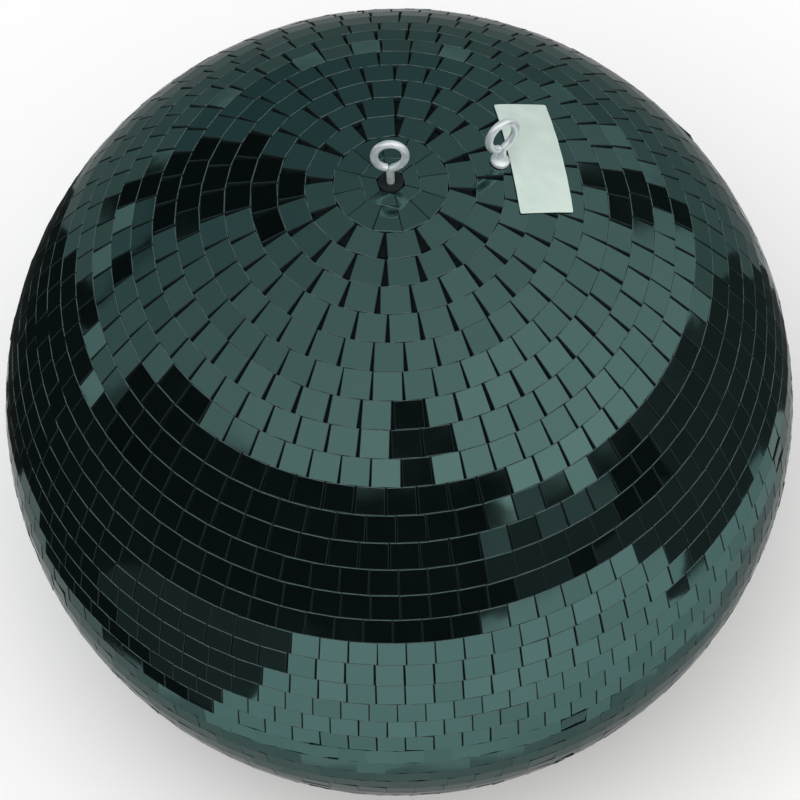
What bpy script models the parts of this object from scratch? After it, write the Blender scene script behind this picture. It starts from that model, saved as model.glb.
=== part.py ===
"""Mirror ball: two moulded half shells covered with rows of flat mirror tiles, hung from a screw eye at the
pole, with a second eye for a safety rope and a blank paper label beside it.

Metres, +Z up. The origin is inside the crown of the hanging eye, where a hook bears, and the ball hangs
below it. The ball turns about the Z axis on the eye's shank.
"""

import math

import bmesh
import bpy
from mathutils import Matrix, Vector

MM = 0.001

# Mirror tiles
BALL_RADIUS = 150 * MM
ROWS = 46
TILE_WIDTH = 10 * MM
TILE_GAP = 0.15 * MM
ROW_GAP = 0.3 * MM
TILE_THICKNESS = 1.8 * MM
POLE_TILES = 6
TILES_PER_BACK_FLAT = 3
SHORT_ROW = 36
ROW_STAGGER = 0.618

# Core
SHELL_WALL = 3 * MM
SHELL_SEGMENTS = 32
SHELL_STEPS = 8
VENT_RADIUS = 3 * MM
BAND_HEIGHT = 24 * MM
BAND_WALL = 2.5 * MM

# Screw eyes
WIRE = 2.9 * MM
LOOP_WIDTH = 14 * MM
LOOP_HEIGHT = 17.5 * MM
LOOP_RISE = 16 * MM
SHANK_PROUD = 3 * MM
LOOP_SEGMENTS = 24
WIRE_SEGMENTS = 8

# Hanging hardware at the pole
BUSH_RADIUS = 3.2 * MM
COLLAR_RADIUS = 4.6 * MM
COLLAR_RISE = 0.6 * MM
PLATE_RADIUS = 22 * MM
PLATE_THICKNESS = 2.5 * MM
WASHER_RADIUS = 6 * MM
WASHER_THICKNESS = 1 * MM
NUT_FLATS = 7 * MM
NUT_HEIGHT = 3.2 * MM
LOCK_NUT_HEIGHT = 2.2 * MM

# Safety eye, on the joint below this row
SAFETY_ROW = 4
SAFETY_LONGITUDE = math.radians(105)
SAFETY_TURN = math.radians(30)
SAFETY_BEND = 4 * MM
FOOT_RADIUS = 3.5 * MM
FOOT_THICKNESS = 1.6 * MM
SAFETY_PLATE_RADIUS = 14 * MM

# Paper label
LABEL_WIDTH = 21 * MM
LABEL_LENGTH = 50 * MM
LABEL_THICKNESS = 0.3 * MM
LABEL_BACK = 4.3 * MM
LABEL_LONGITUDE = math.radians(107)
LABEL_SLANT = math.radians(-9)
LABEL_CELLS = (3, 6)

# Clearances
TOUCH = 0.3 * MM
RUNNING = 0.4 * MM
ROUND_SEGMENTS = 20

# What follows from the sizes above
ROW_ANGLE = math.pi / ROWS
HALF_GAP = ROW_GAP / 2 / BALL_RADIUS
BACK_SAG = (TILES_PER_BACK_FLAT * (TILE_WIDTH + 2 * ROW_GAP)) ** 2 / (8 * BALL_RADIUS)
CORE_RADIUS = BALL_RADIUS - TILE_THICKNESS - BACK_SAG - TOUCH
INNER_RADIUS = CORE_RADIUS - SHELL_WALL
SHELL_SAG = INNER_RADIUS * (1 - math.cos(math.pi / 4 / SHELL_STEPS))
WIRE_RADIUS = WIRE / 2
SHANK_HOLE = WIRE_RADIUS + RUNNING
BALL_DROP = BALL_RADIUS + LOOP_RISE + LOOP_HEIGHT / 2 - WIRE


def clear_scene():
    for item in list(bpy.data.objects):
        bpy.data.objects.remove(item)


def make_material(name, colour, roughness, metallic=0.0):
    material = bpy.data.materials.new(name)
    material.use_nodes = True
    shader = material.node_tree.nodes["Principled BSDF"]
    shader.inputs["Base Color"].default_value = (*colour, 1)
    shader.inputs["Roughness"].default_value = roughness
    shader.inputs["Metallic"].default_value = metallic
    return material


def make_empty(name, matrix, parent=None):
    empty = bpy.data.objects.new(name, None)
    bpy.context.scene.collection.objects.link(empty)
    empty.parent = parent
    empty.matrix_local = matrix
    return empty


def make_object(name, bm, parent, material=None):
    """A named object from a bmesh, at its parent's origin."""
    bmesh.ops.recalc_face_normals(bm, faces=bm.faces)
    mesh = bpy.data.meshes.new(name)
    bm.to_mesh(mesh)
    bm.free()
    item = bpy.data.objects.new(name, mesh)
    bpy.context.scene.collection.objects.link(item)
    item.parent = parent
    if material:
        mesh.materials.append(material)
    return item


def add_prism(bm, sides, radius, height, middle):
    bmesh.ops.create_cone(
        bm, cap_ends=True, segments=sides, radius1=radius, radius2=radius, depth=height, matrix=middle
    )


def make_cutter(name, radius, low, high, parent):
    """A hidden round cutter along its parent's Z axis."""
    bm = bmesh.new()
    middle = Matrix.Translation((0, 0, (low + high) / 2))
    add_prism(bm, ROUND_SEGMENTS, radius, high - low, middle)
    return hide(make_object(name, bm, parent))


def hide(item):
    item.hide_render = True
    item.display_type = "WIRE"
    return item


def combine(item, other, operation):
    modifier = item.modifiers.new(operation.lower(), "BOOLEAN")
    modifier.operation = operation
    modifier.solver = "EXACT"
    modifier.object = other


def turned(name, outline, parent, material, segments=ROUND_SEGMENTS):
    """A ring turned about Z from a closed outline of (radius, height) points, down its outer side first."""
    bm = bmesh.new()
    corners = [bm.verts.new((radius, 0, height)) for radius, height in outline]
    for first, second in zip(corners, corners[1:] + corners[:1]):
        bm.edges.new((first, second))
    item = make_object(name, bm, parent, material)
    item.data.shade_smooth()
    screw = item.modifiers.new("turn", "SCREW")
    screw.steps = segments
    screw.render_steps = segments
    screw.use_merge_vertices = True
    screw.merge_threshold = 0.00001
    return item


def washer(name, hole, radius, low, high, parent, material, segments=ROUND_SEGMENTS):
    outline = [(radius, high), (radius, low), (hole, low), (hole, high)]
    return turned(name, outline, parent, material, segments)


def hex_nut(name, top, height, parent, material):
    bm = bmesh.new()
    corner = NUT_FLATS / math.sqrt(3)
    middle = Matrix.Translation((0, 0, top - height / 2))
    add_prism(bm, 6, corner, height, middle)
    nut = make_object(name, bm, parent, material)
    hole = make_cutter(name + "_hole", SHANK_HOLE, top - 2 * height, top + height, parent)
    combine(nut, hole, "DIFFERENCE")
    return nut


def ball_point(radius, colatitude, longitude):
    """A point of the ball, measured from its centre; longitude 0 faces the viewer at -Y."""
    flat = radius * math.sin(colatitude)
    return Vector((flat * math.sin(longitude), -flat * math.cos(longitude), radius * math.cos(colatitude)))


def tile_count(from_pole, near, far):
    """Tiles round a row: a set number of keystones at the collar, then as many whole back flats as fit, the
    second row's being keystones cut to their wide edge."""
    if from_pole == 1:
        return POLE_TILES
    edge = far if from_pole == 2 else near
    around = 2 * math.pi * BALL_RADIUS * math.sin(edge) / (TILE_WIDTH + TILE_GAP)
    return TILES_PER_BACK_FLAT * int(around / TILES_PER_BACK_FLAT)


def edge_loop(bm, radius, colatitude, count, phase, side, tangent):
    """A closed loop of corners; a tangent loop's straight sides, not its corners, reach towards the pole."""
    if tangent:
        colatitude = math.atan(math.tan(colatitude) / math.cos(math.pi / count))
    corners = []
    for step in range(count):
        corner = ball_point(radius, colatitude, phase + 2 * math.pi * step / count)
        corner.z *= side
        corners.append(bm.verts.new(corner))
    return corners


def zip_edge(bm, run, start, end):
    """Triangles between a run of outer corners and the one back edge behind it."""
    middle = len(run) // 2
    for step in range(len(run) - 1):
        bm.faces.new((run[step], run[step + 1], start if step < middle else end))
    bm.faces.new((run[middle], end, start))


def mirror_row(name, count, near, far, side, phase, parent, material):
    """One strip of tiles round the ball, from its edge nearer the pole to its far edge: a flat for each tile
    outside, and on long rows a flat for every few tiles behind."""
    flats = count if count < SHORT_ROW else count // TILES_PER_BACK_FLAT
    share = count // flats
    back_radius = BALL_RADIUS - TILE_THICKNESS
    bm = bmesh.new()
    front = [edge_loop(bm, BALL_RADIUS, near, count, phase, side, True)]
    front.append(edge_loop(bm, BALL_RADIUS, far, count, phase, side, False))
    back = [edge_loop(bm, back_radius, near, flats, phase, side, True)]
    back.append(edge_loop(bm, back_radius, far, flats, phase, side, False))
    for loops, sides in ((front, count), (back, flats)):
        for i in range(sides):
            after = (i + 1) % sides
            bm.faces.new((loops[0][i], loops[0][after], loops[1][after], loops[1][i]))
    for outer, inner in zip(front, back):
        for i in range(flats):
            run = [outer[(i * share + step) % count] for step in range(share + 1)]
            zip_edge(bm, run, inner[i], inner[(i + 1) % flats])
    return make_object(name, bm, parent, material)


def closing_tile(name, parent, material):
    """The flat six-sided tile that closes the lower pole."""
    edge = ROW_ANGLE - HALF_GAP
    corner = BALL_RADIUS * math.sin(edge)
    low = -BALL_RADIUS * math.cos(edge)
    bm = bmesh.new()
    middle = Matrix.Translation((0, 0, low + TILE_THICKNESS / 2))
    add_prism(bm, 6, corner, TILE_THICKNESS, middle)
    return make_object(name, bm, parent, material)


def mirror_rows(parent, material):
    rows = {}
    for number in range(1, ROWS):
        upper = number <= ROWS // 2
        from_pole = number if upper else ROWS + 1 - number
        near = (from_pole - 1) * ROW_ANGLE + HALF_GAP
        far = from_pole * ROW_ANGLE - HALF_GAP
        if from_pole == 1:
            near = math.asin((COLLAR_RADIUS + TOUCH) / BALL_RADIUS)
        count = tile_count(from_pole, near, far)
        phase = 2 * math.pi * ROW_STAGGER * number
        side = 1 if upper else -1
        name = f"mirror_row_{number:02d}"
        rows[number] = mirror_row(name, count, near, far, side, phase, parent, material)
    rows[ROWS] = closing_tile(f"mirror_row_{ROWS:02d}", parent, material)
    return rows


def half_shell(name, hole, side, parent, material):
    """A moulded half of the core with a round hole at its pole and its rim at the equator."""
    rim = math.pi / 2 - TOUCH / 2 / INNER_RADIUS

    def arc(radius):
        start = math.asin(hole / radius)
        turns = [start + (rim - start) * step / SHELL_STEPS for step in range(SHELL_STEPS + 1)]
        return [(radius * math.sin(turn), side * radius * math.cos(turn)) for turn in turns]

    outline = arc(CORE_RADIUS) + arc(INNER_RADIUS)[::-1]
    if side < 0:
        outline.reverse()
    return turned(name, outline, parent, material, SHELL_SEGMENTS)


def joining_band(name, parent, material):
    """The ring inside the equator that both half shells are glued to."""
    half = BAND_HEIGHT / 2
    outer = math.sqrt(INNER_RADIUS**2 - half**2) - SHELL_SAG - TOUCH
    return washer(name, outer - BAND_WALL, outer, -half, half, parent, material, SHELL_SEGMENTS)


def seat_depth(radius):
    """How far below the tiles a flat disc of this radius seats against the inside of the shell."""
    return BALL_RADIUS - math.sqrt(INNER_RADIUS**2 - radius**2) + SHELL_SAG + TOUCH


def screw_eye(name, depth, turn, parent, material):
    """A closed wire loop on a straight shank along its parent's Z axis, its loop turned about that axis."""
    across = Matrix.Rotation(turn, 3, "Z")
    half_width = LOOP_WIDTH / 2 - WIRE_RADIUS
    half_height = LOOP_HEIGHT / 2 - WIRE_RADIUS
    bm = bmesh.new()
    rings = []
    for step in range(LOOP_SEGMENTS):
        along = 2 * math.pi * step / LOOP_SEGMENTS
        out = Vector((math.cos(along) * half_height, 0, math.sin(along) * half_width)).normalized()
        centre = Vector((math.cos(along) * half_width, 0, LOOP_RISE + math.sin(along) * half_height))
        ring = []
        for spoke in range(WIRE_SEGMENTS):
            round_wire = 2 * math.pi * spoke / WIRE_SEGMENTS
            offset = out * math.cos(round_wire) + Vector((0, 1, 0)) * math.sin(round_wire)
            ring.append(bm.verts.new(across @ (centre + offset * WIRE_RADIUS)))
        rings.append(ring)
    for first, second in zip(rings, rings[1:] + rings[:1]):
        for i in range(WIRE_SEGMENTS):
            after = (i + 1) % WIRE_SEGMENTS
            bm.faces.new((first[i], first[after], second[after], second[i]))
    eye = make_object(name, bm, parent, material)
    top = LOOP_RISE - half_height
    combine(eye, make_cutter(name + "_shank", WIRE_RADIUS, -depth, top, parent), "UNION")
    eye.data.shade_smooth()
    return eye


def hanging_hardware(pole, metal, dark):
    """The eye, its washer and its nuts hang still; the plate and the bush turn with the ball."""
    plate_top = -seat_depth(PLATE_RADIUS)
    plate_low = plate_top - PLATE_THICKNESS
    bush_hole = BUSH_RADIUS + TOUCH
    washer("hanger_plate", bush_hole, PLATE_RADIUS, plate_low, plate_top, pole, metal)
    shoulder = CORE_RADIUS + TOUCH - BALL_RADIUS
    outline = [
        (COLLAR_RADIUS, COLLAR_RISE),
        (COLLAR_RADIUS, shoulder),
        (BUSH_RADIUS, shoulder),
        (BUSH_RADIUS, plate_low),
        (SHANK_HOLE, plate_low),
        (SHANK_HOLE, COLLAR_RISE),
    ]
    turned("pole_bush", outline, pole, dark)
    washer_top = plate_low - TOUCH
    nut_top = washer_top - WASHER_THICKNESS - TOUCH
    lock_top = nut_top - NUT_HEIGHT - TOUCH
    washer_low = washer_top - WASHER_THICKNESS
    washer("thrust_washer", SHANK_HOLE, WASHER_RADIUS, washer_low, washer_top, pole, metal)
    hex_nut("hanger_nut", nut_top, NUT_HEIGHT, pole, metal)
    hex_nut("hanger_lock_nut", lock_top, LOCK_NUT_HEIGHT, pole, metal)
    depth = LOCK_NUT_HEIGHT - lock_top + SHANK_PROUD
    screw_eye("hanging_eye", depth, 0, pole, metal)


def safety_hardware(rows, upper_shell, ball, metal):
    """The second eye is fixed square to the ball on the joint between two rows, and its wire is bent upright
    above the foot."""
    colatitude = SAFETY_ROW * ROW_ANGLE
    place = Matrix.Translation(ball_point(BALL_RADIUS, colatitude, SAFETY_LONGITUDE))
    lean = Matrix.Rotation(SAFETY_LONGITUDE, 4, "Z") @ Matrix.Rotation(colatitude, 4, "X")
    square = place @ lean @ Matrix.Rotation(-SAFETY_LONGITUDE, 4, "Z")
    axis = make_empty("safety_axis", square, ball)
    plate_top = -seat_depth(SAFETY_PLATE_RADIUS)
    plate_low = plate_top - PLATE_THICKNESS
    nut_top = plate_low - TOUCH
    depth = NUT_HEIGHT - nut_top + SHANK_PROUD
    drill = make_cutter("safety_drill", SHANK_HOLE, plate_top, FOOT_THICKNESS, axis)
    for target in (rows[SAFETY_ROW], rows[SAFETY_ROW + 1], upper_shell):
        combine(target, drill, "DIFFERENCE")
    washer("safety_foot", SHANK_HOLE, FOOT_RADIUS, TOUCH, TOUCH + FOOT_THICKNESS, axis, metal)
    washer("safety_plate", SHANK_HOLE, SAFETY_PLATE_RADIUS, plate_low, plate_top, axis, metal)
    hex_nut("safety_nut", nut_top, NUT_HEIGHT, axis, metal)
    bend = square @ Vector((0, 0, SAFETY_BEND))
    upright = make_empty("safety_upright", Matrix.Translation(bend - Vector((0, 0, SAFETY_BEND))), ball)
    overlap = WIRE_RADIUS * math.tan(colatitude / 2) + TOUCH
    eye = screw_eye("safety_eye", overlap - SAFETY_BEND, SAFETY_TURN, upright, metal)
    shank = make_cutter("safety_eye_lower_shank", WIRE_RADIUS, -depth, SAFETY_BEND + overlap, axis)
    combine(eye, shank, "UNION")


def sheet_cell(grid, row, column):
    return grid[row][column], grid[row][column + 1], grid[row + 1][column + 1], grid[row + 1][column]


def paper_label(name, ball, material):
    """A sheet that follows the ball just outside the tiles, behind the safety eye as seen from the pole."""
    middle = SAFETY_ROW * ROW_ANGLE + (LABEL_BACK + LABEL_WIDTH / 2) / BALL_RADIUS
    lean = Matrix.Rotation(LABEL_LONGITUDE, 3, "Z") @ Matrix.Rotation(middle, 3, "X")
    lean = lean @ Matrix.Rotation(LABEL_SLANT, 3, "Z")
    across, along = LABEL_CELLS
    bm = bmesh.new()
    layers = []
    for radius in (BALL_RADIUS + TOUCH, BALL_RADIUS + TOUCH + LABEL_THICKNESS):
        grid = []
        for row in range(across + 1):
            pitch = LABEL_WIDTH * (row / across - 0.5) / BALL_RADIUS
            line = []
            for column in range(along + 1):
                yaw = LABEL_LENGTH * (column / along - 0.5) / BALL_RADIUS
                rise = math.cos(yaw) * math.cos(pitch)
                spot = Vector((math.sin(yaw), -math.cos(yaw) * math.sin(pitch), rise))
                line.append(bm.verts.new(lean @ spot * radius))
            grid.append(line)
        layers.append(grid)
        for row in range(across):
            for column in range(along):
                bm.faces.new(sheet_cell(grid, row, column))
    rim = [(0, column) for column in range(along)]
    rim += [(row, along) for row in range(across)]
    rim += [(across, column) for column in range(along, 0, -1)]
    rim += [(row, 0) for row in range(across, 0, -1)]
    low, high = layers
    for (row, column), (next_row, next_column) in zip(rim, rim[1:] + rim[:1]):
        edge = (low[row][column], low[next_row][next_column], high[next_row][next_column], high[row][column])
        bm.faces.new(edge)
    return make_object(name, bm, ball, material)


def main():
    clear_scene()
    mirror = make_material("black_mirror", (0.045, 0.095, 0.095), 0.04, 1.0)
    plastic = make_material("black_plastic", (0.02, 0.02, 0.022), 0.6)
    zinc = make_material("zinc_steel", (0.66, 0.68, 0.68), 0.3, 1.0)
    paper = make_material("label_paper", (0.62, 0.72, 0.67), 0.7)
    ball = make_empty("ball_axis", Matrix.Translation((0, 0, -BALL_DROP)))
    pole = make_empty("pole", Matrix.Translation((0, 0, BALL_RADIUS)), ball)
    rows = mirror_rows(ball, mirror)
    upper_shell = half_shell("upper_shell", BUSH_RADIUS + TOUCH, 1, ball, plastic)
    half_shell("lower_shell", VENT_RADIUS, -1, ball, plastic)
    joining_band("equator_band", ball, plastic)
    hanging_hardware(pole, zinc, plastic)
    safety_hardware(rows, upper_shell, ball, zinc)
    paper_label("safety_label", ball, paper)


main()
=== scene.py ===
"""Looks of the mirror ball: every tile as its own bevelled glass square on a dark backing, bent-wire screw
eyes, a turned bush and foot, and a curved paper label, in a plain pale studio at the photograph's angle."""

import math
import random

import bmesh
import bpy
from mathutils import Matrix, Vector


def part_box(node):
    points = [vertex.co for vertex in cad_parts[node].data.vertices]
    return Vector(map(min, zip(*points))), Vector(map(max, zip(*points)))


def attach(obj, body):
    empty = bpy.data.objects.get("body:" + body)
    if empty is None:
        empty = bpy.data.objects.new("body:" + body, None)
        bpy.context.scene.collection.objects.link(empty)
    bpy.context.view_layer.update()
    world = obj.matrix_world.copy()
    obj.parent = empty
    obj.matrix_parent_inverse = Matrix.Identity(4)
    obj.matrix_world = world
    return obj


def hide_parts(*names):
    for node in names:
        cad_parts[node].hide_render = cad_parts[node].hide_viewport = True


MM = 0.001

# Ball, from the frame
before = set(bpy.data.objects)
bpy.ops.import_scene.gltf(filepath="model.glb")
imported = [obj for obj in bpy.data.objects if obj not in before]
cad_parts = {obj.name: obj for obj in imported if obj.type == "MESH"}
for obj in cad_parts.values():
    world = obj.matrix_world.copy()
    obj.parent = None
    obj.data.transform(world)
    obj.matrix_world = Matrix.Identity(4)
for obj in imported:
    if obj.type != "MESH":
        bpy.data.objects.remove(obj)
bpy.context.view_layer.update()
ROWS = sum(name.startswith("mirror_row_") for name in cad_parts)
UPPER_LOW, UPPER_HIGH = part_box(f"mirror_row_{ROWS // 2:02d}")
LOWER_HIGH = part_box(f"mirror_row_{ROWS // 2 + 1:02d}")[1]
CENTRE = Vector((0, 0, (UPPER_LOW.z + LOWER_HIGH.z) / 2))
BALL_RADIUS = max(UPPER_HIGH.x, LOWER_HIGH.x, UPPER_HIGH.y, LOWER_HIGH.y)
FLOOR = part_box(f"mirror_row_{ROWS:02d}")[0].z

# Tiles
TILE = 10.13 * MM
TILE_GAP = 0.12 * MM
TILE_THICKNESS = 1.8 * MM
TILE_BEVEL = 0.2 * MM
TILE_DROP = 0.05 * MM
TILES_PER_BACK_FLAT = 3
CLOSING_SIDES = 6
CLOSING_GAP = 0.05 * MM
ROW_STAGGER = 0.618
ROW_ANGLE = math.pi / ROWS
BACKING = 0.5 * MM
SINK = 0.06 * MM
TILT = math.radians(0.55)
STRAY_TILT = math.radians(1.5)
STRAY_SHARE = 0.1
TURN = math.radians(0.7)
SHIFT = 0.03 * MM
KEYSTONE = 0.4
KEYSTONE_ROWS = 2
BITE_STEPS = 8
SHARPEST_CORNER = 0.3
TONE_MIDDLE = 0.5
TONE_SPREAD = 0.17
SEED = 46
# Material slots of a tile piece: the bevels along a row take a painted lit edge, the other edges a painted
# shaded edge, the backing its cloth
LIT_BEVEL, SHADED_EDGE, BACKING_CLOTH = 1, 2, 3

# Screw eyes; the entry is in wire radii, and the bend's start and neck stations are shares
WIRE_RADIUS = 1.45 * MM
WIRE_SIDES = 20
LOOP_WIDTH = 14 * MM
LOOP_HEIGHT = 17.5 * MM
LOOP_RISE = 16 * MM
LOOP_STEPS = 36
LOOP_ENTRY = (0.3, 0.5)
EYE_GAP_ANGLE = math.radians(24)
EYE_GAP_SHARE = 1.55
BEND_START = 0.6
NECK_STATIONS = (0.2, 0.8)
PATH_PARTS = 3
DOME_RISE = 0.25
DOME_SHARE = 0.6
SAFETY_ROW = 4
SAFETY_LONGITUDE = math.radians(105)
SAFETY_TURN = math.radians(30)
SAFETY_BEND = 4 * MM
SAFETY_HOLE = 1.9 * MM

# Bush and foot; the foot's neck runs out from its bore and its rim in from its radius
COLLAR_RADIUS = 4.6 * MM
COLLAR_RISE = 0.6 * MM
BUSH_CLEARANCE = 0.3 * MM
BUSH_CHAMFER = 0.3 * MM
BUSH_RIM = 0.5 * MM
BUSH_ROUND = 0.15 * MM
BUSH_SHOULDER = -2.7 * MM
BUSH_BODY = 3.2 * MM
FOOT_CLEARANCE = 0.05 * MM
FOOT_RADIUS = 3.5 * MM
FOOT_LOW = 0.3 * MM
FOOT_HIGH = 1.9 * MM
FOOT_NECK = ((0, 0.5 * MM), (0.7 * MM, 0.45 * MM), (1.1 * MM, 0))
FOOT_RIM = ((0.5 * MM, 0.1 * MM), (0.12 * MM, 0.4 * MM), (0, 0.8 * MM))
TURNED_SIDES = 48
SHARP_ANGLE = math.radians(40)

# Label
LABEL_WIDTH = 21 * MM
LABEL_LENGTH = 50 * MM
LABEL_LOW = 0.3 * MM
LABEL_HIGH = 0.6 * MM
LABEL_BACK = 4.3 * MM
LABEL_LONGITUDE = math.radians(107)
LABEL_SLANT = math.radians(-9)
LABEL_CORNER = 0.5 * MM
LABEL_SKEW = math.radians(5.5)
LABEL_CELLS_ACROSS = 18
LABEL_CELLS_ALONG = 42
LABEL_RIPPLE = 0.1 * MM
LABEL_WAVES = (9, 2)

# Colours of the materials, as stops of their ramps
GLASS_TONES = ((0.0, (0.057, 0.116, 0.11)), (0.5, (0.07, 0.138, 0.13)), (1.0, (0.082, 0.157, 0.148)))
# The two edge ramps are lit and shaded copies of one glass edge: row bevels painted lighter as if the light
# catches them, the other edges painted darker as shade
LIT_BEVEL_TONES = ((0.3, (0.048, 0.08, 0.084)), (0.75, (0.085, 0.128, 0.133)))
SHADED_EDGE_TONES = ((0.3, (0.008, 0.015, 0.016)), (0.75, (0.016, 0.028, 0.029)))
CLOTH_TONES = ((0.3, (0.003, 0.005, 0.005)), (0.8, (0.007, 0.011, 0.011)))
PLASTIC_TONES = ((0.3, (0.005, 0.007, 0.008)), (0.8, (0.011, 0.014, 0.015)))
ZINC_TONES = ((0.3, (0.71, 0.785, 0.81)), (0.7, (0.85, 0.92, 0.945)))
PAPER_TONES = ((0.3, (0.47, 0.575, 0.525)), (0.7, (0.55, 0.655, 0.6)))
GLASS_GLANCE = (0.51, 0.54, 0.54, 1)

# Camera, in the photograph's 800 pixel frame; its distance is in ball radii
PHOTO_SIDE = 800
BALL_PIXEL = (399.2, 402.0)
BALL_PIXEL_RADIUS = 393.6
VIEW_ELEVATION = math.radians(58.5)
VIEW_DISTANCE = 12
VIEW_ROLL = math.radians(-2.2)
SENSOR = 36

# Studio
FLOOR_COLOUR = (0.98, 0.98, 0.98, 1)
FLOOR_SIZE = 12
ROOM_BRIGHT_WAY = (0.4, -0.87, -0.28)
ROOM_DARK = (0.13, 0.165, 0.18)
ROOM_BRIGHT = (1.06, 1.0, 0.97)
ROOM_STRENGTH = 1.46
LAMP_SIZE = 2.4
LAMP_POWER = 39
LAMP_PLACE = (-0.5, -0.8, 2.6)

# Studio cards, in metres
CARD_FRONT = -0.7
CARD_SIDE = 2.5
CARD_FOOT = -0.075
BOARD_STEP = 10 * MM
SHEET_FRONT = -1.3
SHEET_LIFT = 1 * MM
PATCH_LIFT = 1.2 * MM
NEAR_LIFT = 0.7 * MM
BACK_LIFT = 0.5 * MM
BACK_CARD_DISTANCE = 1.6
STAND_DISTANCE = 1.0
# Grey levels of the studio cards; three of the floor cards paint the ball's shadow, which only reflections
# show
CARD_SHADES = {
    "black_card": 0.025,
    "dark_card": 0.046,
    "grey_card": 0.1,
    "dusk_card": 0.14,
    "middle_card": 0.42,
    "floor_shadow_card": 0.04,
    "shadow_patch_card": 0.1,
    "contact_shadow_card": 0.6,
    "pale_card": 0.45,
}


def link(item):
    bpy.context.scene.collection.objects.link(item)
    return item


def ball_point(radius, colatitude, longitude):
    """A point of the ball in the frame; longitude 0 faces the camera at -Y."""
    flat = radius * math.sin(colatitude)
    spot = Vector((flat * math.sin(longitude), -flat * math.cos(longitude), radius * math.cos(colatitude)))
    return CENTRE + spot


def add_piece(name, bm, materials, body, node, smooth=False):
    """A mesh piece that rides a body and stands for a CAD node."""
    bmesh.ops.recalc_face_normals(bm, faces=bm.faces)
    mesh = bpy.data.meshes.new(name)
    bm.to_mesh(mesh)
    bm.free()
    for material in materials:
        mesh.materials.append(material)
    if smooth:
        mesh.shade_smooth()
        mesh.set_sharp_from_angle(angle=SHARP_ANGLE)
    piece = link(bpy.data.objects.new(name, mesh))
    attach(piece, body)
    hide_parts(node)


class Shader:
    """A small helper that adds and links nodes of one Principled material."""

    def __init__(self, name):
        self.material = bpy.data.materials.new(name)
        self.material.use_nodes = True
        self.tree = self.material.node_tree
        self.principled = self.tree.nodes["Principled BSDF"]

    def add(self, kind):
        return self.tree.nodes.new(kind)

    def join(self, start, end):
        self.tree.links.new(start, end)

    def set(self, **values):
        for key, value in values.items():
            self.principled.inputs[key.replace("_", " ")].default_value = value

    def attribute(self, name):
        node = self.add("ShaderNodeAttribute")
        node.attribute_name = name
        return node.outputs["Fac"]

    def noise(self, scale, detail):
        node = self.add("ShaderNodeTexNoise")
        node.inputs["Scale"].default_value = scale
        node.inputs["Detail"].default_value = detail
        self.join(self.add("ShaderNodeTexCoord").outputs["Object"], node.inputs["Vector"])
        return node.outputs["Fac"]

    def remap(self, value, span, result):
        node = self.add("ShaderNodeMapRange")
        node.inputs["From Min"].default_value = span[0]
        node.inputs["From Max"].default_value = span[1]
        node.inputs["To Min"].default_value = result[0]
        node.inputs["To Max"].default_value = result[1]
        self.join(value, node.inputs["Value"])
        return node.outputs["Result"]

    def ramp(self, value, stops):
        node = self.add("ShaderNodeValToRGB")
        elements = node.color_ramp.elements
        while len(elements) < len(stops):
            elements.new(0.5)
        for element, (place, colour) in zip(elements, stops):
            element.position = place
            element.color = (*colour, 1)
        self.join(value, node.inputs["Fac"])
        return node.outputs["Color"]

    def bump(self, height, strength, distance):
        node = self.add("ShaderNodeBump")
        node.inputs["Strength"].default_value = strength
        node.inputs["Distance"].default_value = distance
        self.join(height, node.inputs["Height"])
        self.join(node.outputs["Normal"], self.principled.inputs["Normal"])

    def into(self, socket, value):
        self.join(value, self.principled.inputs[socket])


def mirror_glass():
    """Black mirror glass with a teal tint; each tile has its own tone, under a faint film of dust."""
    shader = Shader("black_mirror_glass")
    shader.set(Metallic=1.0, Specular_Tint=GLASS_GLANCE)
    shader.into("Base Color", shader.ramp(shader.attribute("tile_tone"), GLASS_TONES))
    film = shader.noise(scale=38, detail=5)
    shader.into("Roughness", shader.remap(film, (0.35, 0.75), (0.03, 0.1)))
    shader.bump(shader.noise(scale=55, detail=2), strength=0.05, distance=0.0005)
    return shader.material


def glass_edge(name, tones):
    """The rough edge of a tile, in two shades of grit; it is made twice, as a painted lit copy and a
    painted shaded copy.
    """
    shader = Shader(name)
    shader.set(Specular_IOR_Level=0.15)
    grit = shader.noise(scale=900, detail=2)
    shader.into("Base Color", shader.ramp(grit, tones))
    shader.into("Roughness", shader.remap(grit, (0.2, 0.8), (0.5, 0.7)))
    return shader.material


def backing_cloth():
    shader = Shader("backing_cloth")
    weave = shader.noise(scale=1400, detail=2)
    shader.into("Base Color", shader.ramp(weave, CLOTH_TONES))
    shader.set(Roughness=0.9, Specular_IOR_Level=0.1)
    shader.bump(weave, strength=0.3, distance=0.0001)
    return shader.material


def black_plastic():
    shader = Shader("black_plastic")
    grain = shader.noise(scale=600, detail=3)
    shader.into("Base Color", shader.ramp(grain, PLASTIC_TONES))
    shader.set(Specular_IOR_Level=0.2)
    shader.into("Roughness", shader.remap(grain, (0.2, 0.8), (0.42, 0.62)))
    shader.bump(grain, strength=0.15, distance=0.0001)
    return shader.material


def zinc_plate():
    """Bright zinc: faint cloudy plating with a fine grain."""
    shader = Shader("bright_zinc")
    shader.set(Metallic=0.7)
    cloud = shader.noise(scale=260, detail=4)
    shader.into("Base Color", shader.ramp(cloud, ZINC_TONES))
    shader.into("Roughness", shader.remap(cloud, (0.25, 0.75), (0.32, 0.5)))
    shader.bump(shader.noise(scale=1800, detail=2), strength=0.12, distance=0.00005)
    return shader.material


def label_paper():
    """Uncoated paper with a fine grain and a slight mottle; nothing is printed on it."""
    shader = Shader("label_paper")
    mottle = shader.noise(scale=120, detail=5)
    shader.into("Base Color", shader.ramp(mottle, PAPER_TONES))
    fibre = shader.noise(scale=2600, detail=3)
    shader.into("Roughness", shader.remap(fibre, (0.2, 0.8), (0.6, 0.8)))
    shader.bump(fibre, strength=0.2, distance=0.00005)
    return shader.material


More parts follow.
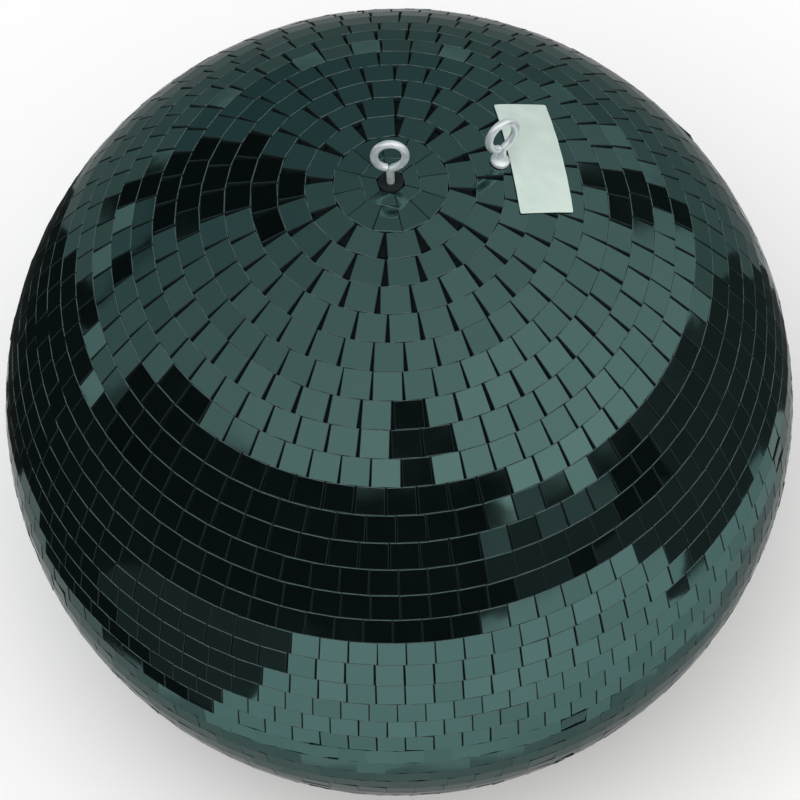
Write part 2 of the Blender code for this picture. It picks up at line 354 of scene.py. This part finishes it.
def row_band(number):
    """A row's side of the equator, its number from that pole, and its near and far edge as colatitudes."""
    upper = number <= ROWS // 2
    side = 1 if upper else -1
    from_pole = number if upper else ROWS + 1 - number
    near = (from_pole - 1) * ROW_ANGLE
    far = from_pole * ROW_ANGLE
    if from_pole == 1:
        near = math.asin((COLLAR_RADIUS + TILE_GAP) / BALL_RADIUS)
    return side, from_pole, near, far


def tile_count(near, far):
    """Tiles round a row, in whole groups; the rows at the poles are keystones cut to their wide edge."""
    edge = far if far < (KEYSTONE_ROWS + 0.5) * ROW_ANGLE else near
    around = 2 * math.pi * BALL_RADIUS * math.sin(edge) / (TILE + TILE_GAP)
    return TILES_PER_BACK_FLAT * int(around / TILES_PER_BACK_FLAT)


def tile_size(near, far, step, from_pole):
    """A tile's width at its near and far edge, and its height."""
    middle = (near + far) / 2
    height = min(TILE, (far - near) * BALL_RADIUS - TILE_GAP)
    near_chord = 2 * BALL_RADIUS * math.sin(middle - height / 2 / BALL_RADIUS) * math.tan(step / 2)
    far_chord = 2 * BALL_RADIUS * math.sin(middle + height / 2 / BALL_RADIUS) * math.tan(step / 2)
    near_width = min(TILE, near_chord - TILE_GAP)
    taper = 1 if from_pole <= KEYSTONE_ROWS else KEYSTONE
    far_width = min(near_width + taper * (far_chord - near_chord), far_chord - TILE_GAP)
    return near_width, far_width, height


def tile_outline(near_width, far_width, height, bite):
    """Corners of one tile, x round the row and y away from the pole. A bite of 1 or -1 is a round notch at
    the middle of its far or near edge."""
    half = height / 2
    corners = [(-near_width / 2, -half), (near_width / 2, -half)]
    corners += [(far_width / 2, half), (-far_width / 2, half)]
    if not bite:
        return corners
    arc = []
    for step in range(BITE_STEPS + 1):
        turn = math.pi * step / BITE_STEPS
        arc.append((-bite * SAFETY_HOLE * math.cos(turn), bite * (half - SAFETY_HOLE * math.sin(turn))))
    split = 3 if bite > 0 else 1
    return corners[:split] + arc[::-1] + corners[split:]


def inset(outline, distance):
    """The outline moved inwards by a distance, corner by corner."""
    moved = []
    count = len(outline)
    for i in range(count):
        here = Vector(outline[i])
        before = (here - Vector(outline[i - 1])).normalized()
        after = (Vector(outline[(i + 1) % count]) - here).normalized()
        inward = Vector((-before.y - after.y, before.x + after.x))
        inward.normalize()
        corner = max(SHARPEST_CORNER, inward.dot(Vector((-after.y, after.x))))
        moved.append(here + inward * distance / corner)
    return moved


def add_tile(bm, tone, place, outline, value):
    """A glass slab with a bevelled rim: mirror on its face, the bevels along the row painted lighter as if
    the light catches them, the rest of its edges painted dark as shade."""
    levels = ((outline, -TILE_THICKNESS), (outline, -TILE_BEVEL), (inset(outline, TILE_BEVEL), 0))
    rings = [[bm.verts.new(place @ Vector((x, y, z))) for x, y in ring] for ring, z in levels]
    count = len(outline)
    back = bm.faces.new(rings[0][::-1])
    back.material_index = SHADED_EDGE
    faces = [bm.faces.new(rings[2]), back]
    for i in range(count):
        after = (i + 1) % count
        along_row = abs(outline[after][0] - outline[i][0]) > abs(outline[after][1] - outline[i][1])
        for low, high in zip(rings, rings[1:]):
            face = bm.faces.new((low[i], low[after], high[after], high[i]))
            face.material_index = LIT_BEVEL if along_row and high is rings[2] else SHADED_EDGE
            faces.append(face)
    for face in faces:
        face[tone] = value


def add_backing(bm, near, far, side, count, phase):
    """The dark cloth band under a row, a closed ring that meets its neighbours."""
    high = BALL_RADIUS - TILE_THICKNESS - SINK
    low = high - BACKING
    loops = []
    for radius, colatitude in ((high, near), (high, far), (low, far), (low, near)):
        loop = []
        for step in range(count):
            spot = ball_point(radius, colatitude, phase + 2 * math.pi * step / count)
            spot.z = CENTRE.z + side * (spot.z - CENTRE.z)
            loop.append(bm.verts.new(spot))
        loops.append(loop)
    for first, second in zip(loops, loops[1:] + loops[:1]):
        for i in range(count):
            after = (i + 1) % count
            face = bm.faces.new((first[i], first[after], second[after], second[i]))
            face.material_index = BACKING_CLOTH


def tile_place(middle, longitude, side, rng):
    """Where one tile sits: square to the ball, then tipped, turned and shifted by hand-laying errors."""
    reach = STRAY_TILT if rng.random() < STRAY_SHARE else TILT
    tip = Matrix.Rotation(rng.gauss(0, reach), 4, "X") @ Matrix.Rotation(rng.gauss(0, reach), 4, "Y")
    turn = Matrix.Rotation(rng.gauss(0, TURN / 2), 4, "Z")
    slip = Matrix.Translation((rng.gauss(0, SHIFT), rng.gauss(0, SHIFT / 2), 0))
    out = ball_point(1, middle, longitude) - CENTRE
    out.z *= side
    east = Vector((math.cos(longitude), math.sin(longitude), 0))
    away = out.cross(east) * -side
    face = BALL_RADIUS * math.cos(ROW_ANGLE / 2) - TILE_DROP
    axes = Matrix((east, away, out)).transposed().to_4x4()
    return Matrix.Translation(CENTRE + out * face) @ axes @ slip @ tip @ turn


def mirror_row(number, materials, rng):
    """One row of separate tiles on its backing; the safety eye's shank goes between two notched tiles."""
    side, from_pole, near, far = row_band(number)
    count = tile_count(near, far)
    step = 2 * math.pi / count
    drilled = number in (SAFETY_ROW, SAFETY_ROW + 1)
    phase = SAFETY_LONGITUDE if drilled else 2 * math.pi * ROW_STAGGER * number
    near_width, far_width, height = tile_size(near, far, step, from_pole)
    bm = bmesh.new()
    tone = bm.faces.layers.float.new("tile_tone")
    for index in range(count):
        bite = 0
        if drilled and index == 0:
            bite = 1 if number == SAFETY_ROW else -1
        outline = tile_outline(near_width, far_width, height, bite)
        if side < 0:
            outline = [(-x, y) for x, y in outline]
        place = tile_place((near + far) / 2, phase + index * step, side, rng)
        value = min(1, max(0, rng.gauss(TONE_MIDDLE, TONE_SPREAD)))
        add_tile(bm, tone, place, outline, value)
    add_backing(bm, near, far, side, count, phase)
    node = f"mirror_row_{number:02d}"
    add_piece(f"tiles_{number:02d}", bm, materials, "ball", node)


def closing_tile(materials):
    """The flat six-sided tile at the lower pole."""
    node = f"mirror_row_{ROWS:02d}"
    low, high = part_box(node)
    radius = max(high.x, high.y) - CLOSING_GAP
    outline = []
    for i in range(CLOSING_SIDES):
        turn = 2 * math.pi * i / CLOSING_SIDES
        outline.append((radius * math.cos(turn), radius * math.sin(turn)))
    place = Matrix.Translation((0, 0, low.z)) @ Matrix.Rotation(math.pi, 4, "X")
    bm = bmesh.new()
    tone = bm.faces.layers.float.new("tile_tone")
    add_tile(bm, tone, place, outline, TONE_MIDDLE)
    add_piece(f"tiles_{ROWS:02d}", bm, materials, "ball", node)


def turned_mesh(outline, place):
    """A closed ring turned about Z from (radius, height) points."""
    bm = bmesh.new()
    loops = []
    for radius, height in outline:
        loop = []
        for i in range(TURNED_SIDES):
            turn = 2 * math.pi * i / TURNED_SIDES
            spot = Vector((radius * math.cos(turn), radius * math.sin(turn), height))
            loop.append(bm.verts.new(place @ spot))
        loops.append(loop)
    for first, second in zip(loops, loops[1:] + loops[:1]):
        for i in range(TURNED_SIDES):
            after = (i + 1) % TURNED_SIDES
            bm.faces.new((first[i], first[after], second[after], second[i]))
    return bm


def loop_path(turn):
    """The wire of a loop about its own centre, from below round to a cut end, turned about Z."""
    half_width = LOOP_WIDTH / 2 - WIRE_RADIUS
    half_height = LOOP_HEIGHT / 2 - WIRE_RADIUS
    start = -math.pi / 2 + EYE_GAP_ANGLE
    sweep = 2 * math.pi - EYE_GAP_SHARE * EYE_GAP_ANGLE
    aside, below = LOOP_ENTRY
    path = [Vector((aside * WIRE_RADIUS, 0, -half_height - below * WIRE_RADIUS))]
    for step in range(LOOP_STEPS + 1):
        angle = start + sweep * step / LOOP_STEPS
        path.append(Vector((half_width * math.cos(angle), 0, half_height * math.sin(angle))))
    across = Matrix.Rotation(turn, 3, "Z")
    return [across @ spot for spot in path]


def eye_path(base, axis, depth, turn):
    """A screw eye's wire: up the shank along its axis to the bend, then upright to the loop."""
    path = [base - axis * depth, base - axis * depth / 2, base, base + axis * SAFETY_BEND * BEND_START]
    corner = base + axis * SAFETY_BEND
    upright = Vector((0, 0, 1))
    neck = LOOP_RISE - LOOP_HEIGHT / 2 - SAFETY_BEND
    for share in NECK_STATIONS:
        path.append(corner + upright * share * neck)
    centre = corner + upright * (LOOP_RISE - SAFETY_BEND)
    return path + [centre + spot for spot in loop_path(turn)]


def smooth_path(path):
    """A Catmull-Rom curve through the points."""
    ends = [path[0] * 2 - path[1]] + path + [path[-1] * 2 - path[-2]]
    fine = []
    for a, b, c, d in zip(ends, ends[1:], ends[2:], ends[3:]):
        for step in range(PATH_PARTS):
            t = step / PATH_PARTS
            line = 2 * b + (c - a) * t
            curve = (2 * a - 5 * b + 4 * c - d) * t**2 + (3 * b - a - 3 * c + d) * t**3
            fine.append((line + curve) / 2)
    return fine + [path[-1]]


def wire_mesh(path):
    """A round wire along a path, with slightly domed ends."""
    ways = []
    for i in range(len(path)):
        ways.append((path[min(i + 1, len(path) - 1)] - path[max(i - 1, 0)]).normalized())
    dome = DOME_RISE * WIRE_RADIUS
    stations = [(path[0] - ways[0] * dome, ways[0], DOME_SHARE)]
    stations += [(spot, way, 1.0) for spot, way in zip(path, ways)]
    stations.append((path[-1] + ways[-1] * dome, ways[-1], DOME_SHARE))
    bm = bmesh.new()
    loops = []
    side = Vector((0, 1, 0))
    for spot, way, share in stations:
        side = (side - way * side.dot(way)).normalized()
        across = way.cross(side)
        loop = []
        for i in range(WIRE_SIDES):
            turn = 2 * math.pi * i / WIRE_SIDES
            offset = across * math.cos(turn) + side * math.sin(turn)
            loop.append(bm.verts.new(spot + offset * WIRE_RADIUS * share))
        loops.append(loop)
    for first, second in zip(loops, loops[1:]):
        for i in range(WIRE_SIDES):
            after = (i + 1) % WIRE_SIDES
            bm.faces.new((first[i], first[after], second[after], second[i]))
    bm.faces.new(loops[0])
    bm.faces.new(loops[-1])
    return bm


def safety_place():
    """The safety eye's own axes: Z square to the ball."""
    colatitude = SAFETY_ROW * ROW_ANGLE
    lean = Matrix.Rotation(SAFETY_LONGITUDE, 4, "Z") @ Matrix.Rotation(colatitude, 4, "X")
    spot = Matrix.Translation(ball_point(BALL_RADIUS, colatitude, SAFETY_LONGITUDE))
    return spot @ lean @ Matrix.Rotation(-SAFETY_LONGITUDE, 4, "Z")


def screw_eyes(metal):
    """The hanging eye at the pole and the safety eye; each shank is as deep as its solid's."""
    pole = CENTRE + Vector((0, 0, BALL_RADIUS))
    depth = pole.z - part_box("hanging_eye")[0].z
    path = smooth_path(eye_path(pole, Vector((0, 0, 1)), depth, 0))
    add_piece("hanging_eye_wire", wire_mesh(path), [metal], "hanger", "hanging_eye", True)
    place = safety_place()
    corners = [place.inverted() @ vertex.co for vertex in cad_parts["safety_eye"].data.vertices]
    depth = -min(corner.z for corner in corners)
    axis = place.to_3x3() @ Vector((0, 0, 1))
    path = smooth_path(eye_path(place.translation, axis, depth, SAFETY_TURN))
    add_piece("safety_eye_wire", wire_mesh(path), [metal], "ball", "safety_eye", True)


def turned_bush(plastic):
    """The bush at the pole, with a rounded collar."""
    place = Matrix.Translation(CENTRE + Vector((0, 0, BALL_RADIUS)))
    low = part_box("pole_bush")[0].z - CENTRE.z - BALL_RADIUS
    bore = WIRE_RADIUS + BUSH_CLEARANCE
    outline = [
        (bore + BUSH_CHAMFER, COLLAR_RISE),
        (COLLAR_RADIUS - BUSH_RIM, COLLAR_RISE),
        (COLLAR_RADIUS - BUSH_ROUND, COLLAR_RISE - BUSH_ROUND),
        (COLLAR_RADIUS, COLLAR_RISE - BUSH_RIM),
        (COLLAR_RADIUS, BUSH_SHOULDER),
        (BUSH_BODY, BUSH_SHOULDER),
        (BUSH_BODY, low),
        (bore, low),
        (bore, COLLAR_RISE - BUSH_CHAMFER),
    ]
    mesh = turned_mesh(outline, place)
    add_piece("bush_turned", mesh, [plastic], "ball", "pole_bush", True)


def turned_foot(metal):
    """The safety eye's foot, with a rounded rim and a short neck."""
    bore = WIRE_RADIUS + FOOT_CLEARANCE
    outline = [(bore + outward, FOOT_HIGH + rise) for outward, rise in FOOT_NECK]
    outline += [(FOOT_RADIUS - inward, FOOT_HIGH - drop) for inward, drop in FOOT_RIM]
    outline += [(FOOT_RADIUS, FOOT_LOW), (bore, FOOT_LOW)]
    mesh = turned_mesh(outline, safety_place())
    add_piece("foot_turned", mesh, [metal], "ball", "safety_foot", True)


def label_edge(share, side):
    """How far a share of half a side reaches into the corner's rounding, from 0 to 1."""
    return max(0, abs(share) * side / 2 - (side / 2 - LABEL_CORNER)) / LABEL_CORNER


def label_offset(share, side, edge):
    """The offset from the middle of a side, pulled in at the rounded corners."""
    reach = min(abs(share) * side / 2, side / 2 - LABEL_CORNER * (1 - edge))
    return math.copysign(reach, share)


def label_spot(lean, row, column, height):
    """A point of the label, bent round the ball, with a slight ripple and its short edges askew."""
    v = (row / LABEL_CELLS_ACROSS - 0.5) * 2
    u = (column / LABEL_CELLS_ALONG - 0.5) * 2
    edge_u = label_edge(u, LABEL_LENGTH)
    edge_v = label_edge(v, LABEL_WIDTH)
    pull = 1 / max(1, math.hypot(edge_u, edge_v))
    x = label_offset(u, LABEL_LENGTH, edge_u * pull)
    y = label_offset(v, LABEL_WIDTH, edge_v * pull)
    yaw = (x + y * math.tan(LABEL_SKEW)) / BALL_RADIUS
    pitch = y / BALL_RADIUS
    lift = LABEL_RIPPLE * math.sin(LABEL_WAVES[0] * u + LABEL_WAVES[1] * v) ** 2
    way = Vector((math.sin(yaw), -math.cos(yaw) * math.sin(pitch), math.cos(yaw) * math.cos(pitch)))
    return CENTRE + lean @ way * (BALL_RADIUS + height + lift)


def paper_label(material):
    """A blank sheet with rounded corners that bends with the ball."""
    middle = SAFETY_ROW * ROW_ANGLE + (LABEL_BACK + LABEL_WIDTH / 2) / BALL_RADIUS
    lean = Matrix.Rotation(LABEL_LONGITUDE, 3, "Z") @ Matrix.Rotation(middle, 3, "X")
    lean = lean @ Matrix.Rotation(LABEL_SLANT, 3, "Z")
    across, along = LABEL_CELLS_ACROSS, LABEL_CELLS_ALONG
    bm = bmesh.new()
    layers = []
    for height in (LABEL_LOW, LABEL_HIGH):
        grid = []
        for row in range(across + 1):
            spots = [label_spot(lean, row, column, height) for column in range(along + 1)]
            grid.append([bm.verts.new(spot) for spot in spots])
        layers.append(grid)
        for first, second in zip(grid, grid[1:]):
            for i in range(along):
                bm.faces.new((first[i], first[i + 1], second[i + 1], second[i]))
    rim = [(0, column) for column in range(along)] + [(row, along) for row in range(across)]
    rim += [(across, column) for column in range(along, 0, -1)] + [(row, 0) for row in range(across, 0, -1)]
    low, high = layers
    for (row, column), (next_row, next_column) in zip(rim, rim[1:] + rim[:1]):
        under = (low[row][column], low[next_row][next_column])
        over = (high[next_row][next_column], high[row][column])
        bm.faces.new(under + over)
    add_piece("label_sheet", bm, [material], "ball", "safety_label", True)


def dress_inside(metal, plastic):
    """The core and the hardware inside keep their CAD shapes."""
    core = ("upper_shell", "lower_shell", "equator_band")
    plates = ("hanger_plate", "safety_plate")
    fixings = ("thrust_washer", "hanger_nut", "hanger_lock_nut", "safety_nut")
    for names, material in ((core, plastic), (plates + fixings, metal)):
        for name in names:
            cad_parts[name].data.materials.clear()
            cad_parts[name].data.materials.append(material)


def add_floor():
    bm = bmesh.new()
    level = Matrix.Translation((0, 0, FLOOR))
    bmesh.ops.create_grid(bm, x_segments=1, y_segments=1, size=FLOOR_SIZE, matrix=level)
    mesh = bpy.data.meshes.new("floor")
    bm.to_mesh(mesh)
    bm.free()
    shader = Shader("pale_floor")
    shader.set(Base_Color=FLOOR_COLOUR, Roughness=0.9, Specular_IOR_Level=0.0)
    mesh.materials.append(shader.material)
    link(bpy.data.objects.new("floor", mesh))


def card_paint(name):
    """Matt grey paint of a studio card."""
    shade = CARD_SHADES[name]
    shader = Shader(name)
    shader.set(Base_Color=(shade, shade, shade, 1), Roughness=1.0, Specular_IOR_Level=0.0)
    return shader.material


def studio_card(name, corners, material):
    """A studio card that only reflections show."""
    mesh = bpy.data.meshes.new(name)
    mesh.from_pydata([tuple(corner) for corner in corners], [], [list(range(len(corners)))])
    mesh.materials.append(material)
    card = link(bpy.data.objects.new(name, mesh))
    card.visible_camera = False
    card.visible_diffuse = False
    card.visible_shadow = False


def direction_card(name, outline, distance, material):
    """A card drawn as (azimuth, elevation) points in degrees, as seen from the ball's centre. Azimuth 0 is
    the camera's side and grows to the right."""
    corners = []
    for azimuth, elevation in outline:
        a = math.radians(azimuth)
        e = math.radians(elevation)
        way = Vector((math.sin(a) * math.cos(e), -math.cos(a) * math.cos(e), math.sin(e)))
        corners.append(CENTRE + way * distance)
    studio_card(name, corners, material)


def upright_card(name, outline, nearer, material):
    """A card that stands in front of the ball, drawn as (across, height over the ball's centre) points."""
    studio_card(name, [(x, CARD_FRONT + nearer, CENTRE.z + z) for x, z in outline], material)


def floor_card(name, outline, lift, material):
    """A card just above the floor, drawn as (x, y) points."""
    studio_card(name, [(x, y, FLOOR + lift) for x, y in outline], material)


def front_cards(dark, grey, black):
    """Low walls in front and at both sides, with two paler boards on the right of the front one."""
    side = CARD_SIDE
    wall = [(-side, CARD_FOOT), (side, CARD_FOOT), (side, 0.62), (1.53, 0.53), (1.05, 0.47), (0.9, 0.4)]
    wall += [(0.8, 0.36), (0.4, 0.37), (0.36, 0.49), (0.16, 0.51), (0.12, 0.45), (0, 0.45)]
    wall += [(-0.44, 0.54), (-1.34, 0.73), (-side, 1.45)]
    upright_card("front_wall", wall, 0, dark)
    board = [(0.2, 0.0), (1.0, 0.0), (0.95, 0.17), (0.25, 0.2)]
    upright_card("lower_board", board, BOARD_STEP, card_paint("dusk_card"))
    board = [(0.27, 0.2), (1.1, 0.12), (1.05, 0.2), (0.85, 0.27), (0.6, 0.33), (0.38, 0.37), (0.3, 0.37)]
    upright_card("upper_board", board, BOARD_STEP, card_paint("middle_card"))
    right = [(74, -4), (74, 13.5), (79, 12), (95, 5.5), (106, -1), (106, -5)]
    direction_card("right_wall", right, side, grey)
    left = [(CARD_FRONT, -0.15), (0.15, -0.15), (0.15, 0.75), (CARD_FRONT, 1.45)]
    studio_card("left_wall", [(-side, y, CENTRE.z + z) for y, z in left], black)


def floor_cards(grey):
    """Dark sheets on the floor to the left and right, the ball's painted shadow that only reflections show,
    the left one with a paler patch; a paler sheet under the ball as its painted contact shadow, and a pale
    one behind the ball.
    """
    side = CARD_SIDE
    # Painted shadow of the ball on the floor to the left, seen only in reflections
    left = [(-0.175, -0.125), (-0.155, -0.18), (-0.225, -0.44), (-0.335, CARD_FRONT), (-0.55, SHEET_FRONT)]
    left += [(-side, SHEET_FRONT), (-side, 1.2), (-0.14, 0.24), (-0.165, 0.15), (-0.21, 0.085)]
    left += [(-0.265, 0.03), (-0.225, -0.03), (-0.205, -0.09)]
    floor_card("left_floor_shadow", left, SHEET_LIFT, card_paint("floor_shadow_card"))
    # A paler part of that painted shadow, near the ball
    patch = [(-0.155, -0.18), (-0.225, -0.44), (-0.335, CARD_FRONT), (-0.62, CARD_FRONT)]
    patch += [(-0.5, -0.2), (-0.3, -0.1)]
    floor_card("left_shadow_patch", patch, PATCH_LIFT, card_paint("shadow_patch_card"))
    # Painted shadow of the ball on the floor to the right, seen only in reflections
    right = [(0.36, 0.02), (0.375, -0.09), (0.31, -0.16), (0.3, -0.2), (0.42, -0.2), (0.6, -0.4)]
    right += [(0.69, -0.52), (0.85, CARD_FRONT), (1.3, SHEET_FRONT), (side, SHEET_FRONT), (side, 0.6)]
    right += [(0.9, 0.5), (0.5, 0.32), (0.42, 0.26), (0.3, 0.21), (0.24, 0.18), (0.2, 0.13)]
    right += [(0.235, 0.085), (0.3, 0.06)]
    floor_card("right_floor_shadow", right, SHEET_LIFT, grey)
    # Painted contact shadow under the ball, seen only in reflections
    near = [(0, -0.19), (0.15, -0.15), (0.235, -0.04), (0.265, 0.05), (0.25, 0.2)]
    near += [(-x, y) for x, y in near[:0:-1]]
    floor_card("contact_shadow_sheet", near, NEAR_LIFT, card_paint("contact_shadow_card"))
    behind = [(-side, 0.2), (side, 0.2), (side, 6), (-side, 6)]
    floor_card("back_sheet", behind, BACK_LIFT, card_paint("pale_card"))


def high_cards(dark, black):
    """Two cards behind the ball, and a stand in front of it."""
    lobe = [(-152, 48), (-140, 55), (-128, 52), (-129, 38), (-122, 26), (-114, 13), (-109, 3), (-112, -1)]
    lobe += [(-117, 6), (-123, 14), (-129, 12), (-131, 3), (-132, -5), (-139, -5), (-144.5, 14), (-150, 26)]
    direction_card("back_left_card", lobe, BACK_CARD_DISTANCE, black)
    lobe = [(119, 17), (131, 29), (135, 18), (131, -3), (124, -4)]
    direction_card("back_right_card", lobe, BACK_CARD_DISTANCE, dark)
    stand = [(1, 28), (15, 28), (15, 44), (19.5, 44), (19.5, 50), (16.5, 50), (16.5, 58), (2.5, 58)]
    stand += [(2.5, 50), (-4.5, 50), (-4.5, 44), (1, 44)]
    direction_card("camera_stand", stand, STAND_DISTANCE, dark)


def studio_cards():
    black = card_paint("black_card")
    dark = card_paint("dark_card")
    grey = card_paint("grey_card")
    front_cards(dark, grey, black)
    floor_cards(grey)
    high_cards(dark, black)


def room_light():
    """A pale room, brightest low in front and to the right."""
    world = bpy.data.worlds.new("studio")
    bpy.context.scene.world = world
    world.use_nodes = True
    tree = world.node_tree
    way = tree.nodes.new("ShaderNodeTexCoord")
    along = tree.nodes.new("ShaderNodeVectorMath")
    along.operation = "DOT_PRODUCT"
    along.inputs[1].default_value = ROOM_BRIGHT_WAY
    tree.links.new(way.outputs["Generated"], along.inputs[0])
    share = tree.nodes.new("ShaderNodeMapRange")
    share.inputs["From Min"].default_value = -1
    tree.links.new(along.outputs["Value"], share.inputs["Value"])
    ramp = tree.nodes.new("ShaderNodeValToRGB")
    for element, colour in zip(ramp.color_ramp.elements, (ROOM_DARK, ROOM_BRIGHT)):
        element.color = (*colour, 1)
    tree.links.new(share.outputs["Result"], ramp.inputs["Fac"])
    background = tree.nodes["Background"]
    background.inputs["Strength"].default_value = ROOM_STRENGTH
    tree.links.new(ramp.outputs["Color"], background.inputs["Color"])


def overhead_lamp():
    """One soft lamp that lights the matt surfaces and stays out of the reflections."""
    lamp = bpy.data.lights.new("overhead", "AREA")
    lamp.shape = "DISK"
    lamp.size = LAMP_SIZE
    lamp.energy = LAMP_POWER
    item = link(bpy.data.objects.new("overhead", lamp))
    item.location = CENTRE + Vector(LAMP_PLACE)
    item.rotation_euler = (CENTRE - item.location).to_track_quat("-Z", "Y").to_euler()
    item.visible_glossy = False


def add_camera():
    """The photograph's view: the ball's radius in pixels sets the lens, and its place the shift."""
    camera = bpy.data.cameras.new("camera")
    focal = BALL_PIXEL_RADIUS * math.sqrt(VIEW_DISTANCE**2 - 1)
    camera.sensor_width = SENSOR
    camera.lens = focal / PHOTO_SIDE * SENSOR
    camera.shift_x = (PHOTO_SIDE / 2 - BALL_PIXEL[0]) / PHOTO_SIDE
    camera.shift_y = (BALL_PIXEL[1] - PHOTO_SIDE / 2) / PHOTO_SIDE
    item = link(bpy.data.objects.new("camera", camera))
    way = Vector((0, -math.cos(VIEW_ELEVATION), math.sin(VIEW_ELEVATION)))
    item.location = CENTRE + way * VIEW_DISTANCE * BALL_RADIUS
    aim = (-way).to_track_quat("-Z", "Y").to_matrix().to_4x4()
    item.rotation_euler = (aim @ Matrix.Rotation(VIEW_ROLL, 4, "Z")).to_euler()
    bpy.context.scene.camera = item


def main():
    rng = random.Random(SEED)
    # Edge materials with painted light: row bevels painted lit, side bevels and cut faces painted shaded
    ground = glass_edge("painted_lit_bevel", LIT_BEVEL_TONES)
    cut = glass_edge("painted_shaded_edge", SHADED_EDGE_TONES)
    tile_materials = [mirror_glass(), ground, cut, backing_cloth()]
    metal, plastic, paper = zinc_plate(), black_plastic(), label_paper()
    for number in range(1, ROWS):
        mirror_row(number, tile_materials, rng)
    closing_tile(tile_materials)
    screw_eyes(metal)
    turned_bush(plastic)
    turned_foot(metal)
    paper_label(paper)
    dress_inside(metal, plastic)
    add_floor()
    studio_cards()
    room_light()
    overhead_lamp()
    add_camera()
    bpy.context.scene.view_settings.view_transform = "Standard"


main()
